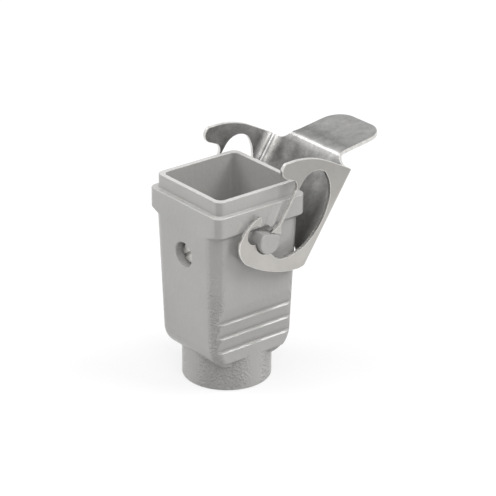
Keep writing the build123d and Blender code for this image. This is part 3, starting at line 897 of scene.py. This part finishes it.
# %% [markdown]
# The paint is half glossy and has orange peel: low waves a millimetre or so across, which show as broken
# highlights along the rounded corners. Noise in the height of the surface makes them.
# The powder lies thicker low on the hood, so the upright corners and the boss are lumpier there.

# %% Surface of the paint
PEEL_HEIGHT, GRIT_HEIGHT, LUMP_HEIGHT = 0.1 * MM, 0.04 * MM, 0.8 * MM
LUMPS_FULL_Z, LUMPS_END_Z, LUMPS_FROM, LUMPS_FULL = 26 * MM, 40 * MM, 0.05, 0.30

gloss = noise(tree, place, 400, 3)
put(tree, clouds(tree, gloss, 0.30, 0.42), shader.inputs["Roughness"])
peel = noise(tree, place, 950, 2)
grit = noise(tree, place, 2600, 2)
_, _, height = split(tree, place)
thicker = span(tree, height, LUMPS_FULL_Z, LUMPS_END_Z, 1.0, 0.0)
lumps = span(tree, diagonal, LUMPS_FROM, LUMPS_FULL, 0.0, LUMP_HEIGHT)
waves = bump(tree, peel, 0.8, PEEL_HEIGHT)
waves = bump(tree, speckle, thicker, lumps, waves)
put(tree, bump(tree, grit, 0.5, GRIT_HEIGHT, waves), shader.inputs["Normal"])
shader.inputs["Coat Weight"].default_value = 0.5
shader.inputs["Coat Roughness"].default_value = 0.13
hood.data.materials.clear()
hood.data.materials.append(paint)
print("paint", len(tree.nodes), "nodes")

# %% [markdown]
# The lever is stainless sheet that was tumbled with small stones after stamping. Along the folds of its
# inner side it gets painted highlights: lighter bands, with a darker line of painted shade between them.
# They are found by turning each point back into the closed lever, where the folds lie along the axes.

# %% Painted highlights along the folds
# Marks of (millimetres, factor). A factor of 0.5 leaves the tone as it is, because the bands are doubled.
SIDE_HIGHLIGHT_MARKS = (
    (8.0, 0.5),
    (11.0, 0.36),
    (12.6, 0.62),
    (14.0, 1.0),
    (14.5, 0.5),
    (15.3, 1.0),
    (16.6, 0.66),
    (17.8, 0.4),
    (20.0, 0.5),
)
TAB_HIGHLIGHT_MARKS = ((22.0, 0.5), (25.4, 0.64), (26.6, 0.95), (27.6, 1.0), (28.4, 0.56), (30.0, 0.38), (32.5, 0.5))


def painted_bands(tree, colour, distance, marks):
    """A colour with bands of painted light and shade that follow marks along a distance in metres."""
    first, last = marks[0][0], marks[-1][0]
    share = span(tree, distance, first * MM, last * MM)
    bands = ramp(tree, share, [((at - first) / (last - first), factor) for at, factor in marks])
    colour = maths(tree, "MULTIPLY", colour, bands, vector=True)
    return maths(tree, "MULTIPLY", colour, (2, 2, 2), vector=True)


def painted_fold_highlights(tree, place, colour):
    """Painted highlight and painted shade bands beside the two side folds and the fold of the tab."""
    closed = tree.nodes.new("ShaderNodeMapping")
    closed.inputs["Rotation"].default_value = (0, -OPEN, 0)
    closed.inputs["Location"].default_value = mm(PEG_Z * sin(OPEN), 0, -PEG_Z * cos(OPEN))
    put(tree, place, closed.inputs["Vector"])
    x, y, z = split(tree, closed.outputs[0])
    from_bend = span(tree, x, BEND_X * MM, 0.0, 0.0, BEND_X * MM)
    around = maths(tree, "ADD", maths(tree, "ABSOLUTE", y), from_bend)
    return painted_bands(tree, painted_bands(tree, colour, around, SIDE_HIGHLIGHT_MARKS), z, TAB_HIGHLIGHT_MARKS)


print("bands", len(SIDE_HIGHLIGHT_MARKS), "marks at the sides and", len(TAB_HIGHLIGHT_MARKS), "at the tab")

# %% [markdown]
# The sheet gets three finishes: outer side, inner side and cut edge. All are metal, and differ in
# tone and roughness. The tones are painted light: the inner side is a darker copy for painted shade,
# and the cut edges a lighter copy for painted highlights. The outer side gets painted shade towards
# the top, where it mirrors less of the floor, and the inner side a ragged patch of painted shade on
# the plate. Each is a small change to the same steel, so the steel takes it as a function.

# %% Steel
DIM_FROM_Z, DIM_TO_Z, DIM_SHADE = 40 * MM, 56 * MM, 0.74
PLATE_SHADE_PLACE, PLATE_SHADE_FULL, PLATE_SHADE_END, PLATE_SHADE_DEPTH = mm(25.2, 4.0, 48.5), 9 * MM, 24 * MM, 0.62
PLATE_SHADE_RAGGED = 16 * MM
STREAK_HEIGHT, ROUGHNESS_SPREAD = 0.012 * MM, 0.08


def painted_upper_shade(tree, place, tone, colour):
    """The tone of the outer side, with painted shade above a height."""
    _, _, height = split(tree, place)
    shade = span(tree, height, DIM_FROM_Z, DIM_TO_Z, 1.0, DIM_SHADE, smooth_ends=True)
    return scaled(tree, colour, shade)


def painted_plate_shade(tree, place, tone, colour):
    """The tone of the inner side, with a ragged patch of painted shade and the painted bands of the folds.
    """
    away = tree.nodes.new("ShaderNodeVectorMath")
    away.operation = "DISTANCE"
    put(tree, place, away.inputs[0])
    put(tree, PLATE_SHADE_PLACE, away.inputs[1])
    ragged_shade_mask = maths(tree, "MULTIPLY_ADD", tone, PLATE_SHADE_RAGGED, away.outputs["Value"])
    plate_shade = span(tree, ragged_shade_mask, PLATE_SHADE_FULL, PLATE_SHADE_END, PLATE_SHADE_DEPTH, 1.0, smooth_ends=True)
    return painted_fold_highlights(tree, place, scaled(tree, colour, plate_shade))


def steel_finish(name, dark, light, cloud_scale, dull, grain_height, change=None):
    """Stainless sheet: a cloudy tone between two colours, with fine grain and rolling streaks."""
    metal, tree, shader = new_material(name)
    place = tree.nodes.new("ShaderNodeTexCoord").outputs["Object"]
    tone = noise(tree, place, cloud_scale, 6, 0.72)
    colour = clouds(tree, tone, dark, light)
    if change is not None:
        colour = change(tree, place, tone, colour)
    put(tree, colour, shader.inputs["Base Color"])
    grain = noise(tree, place, 4200, 3, 0.6)
    streak = noise(tree, place, 900, 4, 0.6, (1.0, 0.12, 1.0))
    roughness = clouds(tree, grain, dull - ROUGHNESS_SPREAD, dull + ROUGHNESS_SPREAD)
    put(tree, roughness, shader.inputs["Roughness"])
    fine = bump(tree, grain, 0.4, grain_height)
    put(tree, bump(tree, streak, 0.2, STREAK_HEIGHT, fine), shader.inputs["Normal"])
    shader.inputs["Metallic"].default_value = 1.0
    return metal


# Painted light in the tones: the inner side is a darker copy for painted shade, the cut edge a lighter
# copy for painted highlights.
outer_dark, outer_light = (0.45, 0.435, 0.41), (0.52, 0.505, 0.48)
inner_shade_dark, inner_shade_light = (0.25, 0.248, 0.244), (0.41, 0.406, 0.40)
edge_highlight_dark, edge_highlight_light = (0.52, 0.51, 0.49), (0.80, 0.79, 0.77)
outer_side_steel = steel_finish("outer side steel", outer_dark, outer_light, 120, 0.34, 0.012 * MM, painted_upper_shade)
inner_side_steel = steel_finish("inner side steel", inner_shade_dark, inner_shade_light, 260, 0.33, 0.02 * MM, painted_plate_shade)
edge_steel = steel_finish("cut edge", edge_highlight_dark, edge_highlight_light, 700, 0.28, 0.015 * MM)
for index, finish in ((OUTER_SIDE, outer_side_steel), (INNER_SIDE, inner_side_steel), (CUT_EDGE, edge_steel)):
    lever.data.materials[index] = finish
print("faces of each finish", [sum(p.material_index == i for p in lever.data.polygons) for i in range(3)])

# %% [markdown]
# The insert screw is zinc plated and a little brighter than the sheet. Deep in its pocket only a glint of
# it shows, so a light cloud of tone and a trace of roughness are enough.
# The screw itself is the CAD piece: its edges are too small in the picture to be worth building again.

# %% Screw
zinc, tree, shader = new_material("zinc plated screw")
place = tree.nodes.new("ShaderNodeTexCoord").outputs["Object"]
tone = noise(tree, place, 800, 3)
put(tree, clouds(tree, tone, (0.52, 0.51, 0.49), (0.64, 0.63, 0.61)), shader.inputs["Base Color"])
put(tree, clouds(tree, tone, 0.25, 0.4), shader.inputs["Roughness"])
put(tree, bump(tree, noise(tree, place, 3000, 2), 0.3, 0.01 * MM), shader.inputs["Normal"])
shader.inputs["Metallic"].default_value = 1.0
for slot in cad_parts["insert_screw"].material_slots:
    slot.material = zinc
print("materials", [m.name for m in (paint, outer_side_steel, inner_side_steel, edge_steel, zinc)])

# %% [markdown]
# The studio. The object stands on a plain white floor in soft light.
# The camera sees white around it, while the light on the object itself stays moderate.
# The world therefore answers camera and mirror rays with white, and gives other rays less.

# %% Floor and world
ROOM_TONE, FLOOR_TONE, FLOOR_SEEN_TONE, FLOOR_GLOW = 0.38, 0.40, 0.24, 0.66
FLOOR_REACH, FLOOR_GAP = 3, 0.05 * MM


def white_to_eye(tree, plain, seen, output):
    """Shows one shader to camera and mirror rays and another to all other rays."""
    path = tree.nodes.new("ShaderNodeLightPath")
    value = path.outputs["Is Camera Ray"]
    for ray in ("Is Glossy Ray", "Is Transmission Ray"):
        value = maths(tree, "MAXIMUM", value, path.outputs[ray])
    mix = tree.nodes.new("ShaderNodeMixShader")
    for source, socket in zip((value, plain, seen), mix.inputs):
        put(tree, source, socket)
    put(tree, mix.outputs[0], output)


world = bpy.data.worlds.new("studio")
bpy.context.scene.world = world
world.use_nodes = True
tree = world.node_tree
tree.nodes.clear()
output = tree.nodes.new("ShaderNodeOutputWorld")
room = tree.nodes.new("ShaderNodeBackground")
room.inputs["Color"].default_value = grey(ROOM_TONE)
room.inputs["Strength"].default_value = 1.0
backdrop = tree.nodes.new("ShaderNodeBackground")
backdrop.inputs["Color"].default_value = grey(1)
backdrop.inputs["Strength"].default_value = 1.0
white_to_eye(tree, room.outputs[0], backdrop.outputs[0], output.inputs["Surface"])

floor_mesh = bpy.data.meshes.new("floor")
corners = [(x * FLOOR_REACH, y * FLOOR_REACH, 0) for x, y in ((-1, -1), (1, -1), (1, 1), (-1, 1))]
floor_mesh.from_pydata(corners, [], [(0, 1, 2, 3)])
floor = add_object("floor", floor_mesh)
floor.location = (0, 0, -FLOOR_GAP)
floor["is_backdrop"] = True
floor_material, tree, shader = new_material("pale floor")
shader.inputs["Base Color"].default_value = grey(FLOOR_TONE)
shader.inputs["Roughness"].default_value = 0.7
shader.inputs["Specular IOR Level"].default_value = 0.2
bright = tree.nodes.new("ShaderNodeBsdfDiffuse")
bright.inputs["Color"].default_value = grey(FLOOR_SEEN_TONE)
glow = tree.nodes.new("ShaderNodeEmission")
glow.inputs["Color"].default_value = grey(1)
glow.inputs["Strength"].default_value = FLOOR_GLOW
lit = tree.nodes.new("ShaderNodeAddShader")
put(tree, bright.outputs[0], lit.inputs[0])
put(tree, glow.outputs[0], lit.inputs[1])
white_to_eye(tree, shader.outputs[0], lit.outputs[0], tree.nodes["Material Output"].inputs["Surface"])
floor_mesh.materials.append(floor_material)
print("floor", 2 * FLOOR_REACH, "m wide, room tone", ROOM_TONE)

# %% [markdown]
# Six soft lamps stand round the object. The three large ones give the even light of a photo tent and are
# kept out of mirror rays, because the bare steel would show their outlines. The three smaller ones glint.

# %% Lamps


def softbox(name, turn, height, distance, width, tall, brightness, mirrored=True):
    """A lamp that looks at the object. Brightness 1 shows a surface square to it as coloured."""
    data = bpy.data.lights.new(name, "AREA")
    data.shape = "RECTANGLE"
    data.size, data.size_y = width, tall
    data.energy = brightness * (pi * distance) ** 2
    lamp = add_object(name, data)
    turn, height = radians(turn), radians(height)
    outward = Vector((cos(turn) * cos(height), sin(turn) * cos(height), sin(height)))
    lamp.location = mm(5, 0, 35) + outward * distance
    lamp.rotation_euler = outward.to_track_quat("Z", "Y").to_euler()
    lamp.visible_glossy = mirrored


softbox("top", 215, 84, 0.95, 1.1, 1.1, 0.70, mirrored=False)
softbox("left", 142, 44, 0.95, 0.6, 0.6, 0.52, mirrored=False)
softbox("right", 310, 40, 0.95, 0.5, 0.5, 0.52, mirrored=False)
softbox("right strip", 340, 52, 0.95, 0.22, 0.26, 0.24)
softbox("back", 100, 42, 0.9, 0.5, 0.12, 0.07)
softbox("front", 238, 34, 0.9, 0.4, 0.4, 0.26)
bpy.context.scene.view_settings.view_transform = "Standard"

# %% Finish
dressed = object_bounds()
sizes = {"cad": [list(c) for c in cad_box], "visual": [list(c) for c in dressed]}
for name, box in sizes.items():
    print(name, "box in mm", [[round(v / MM, 2) for v in corner] for corner in box])
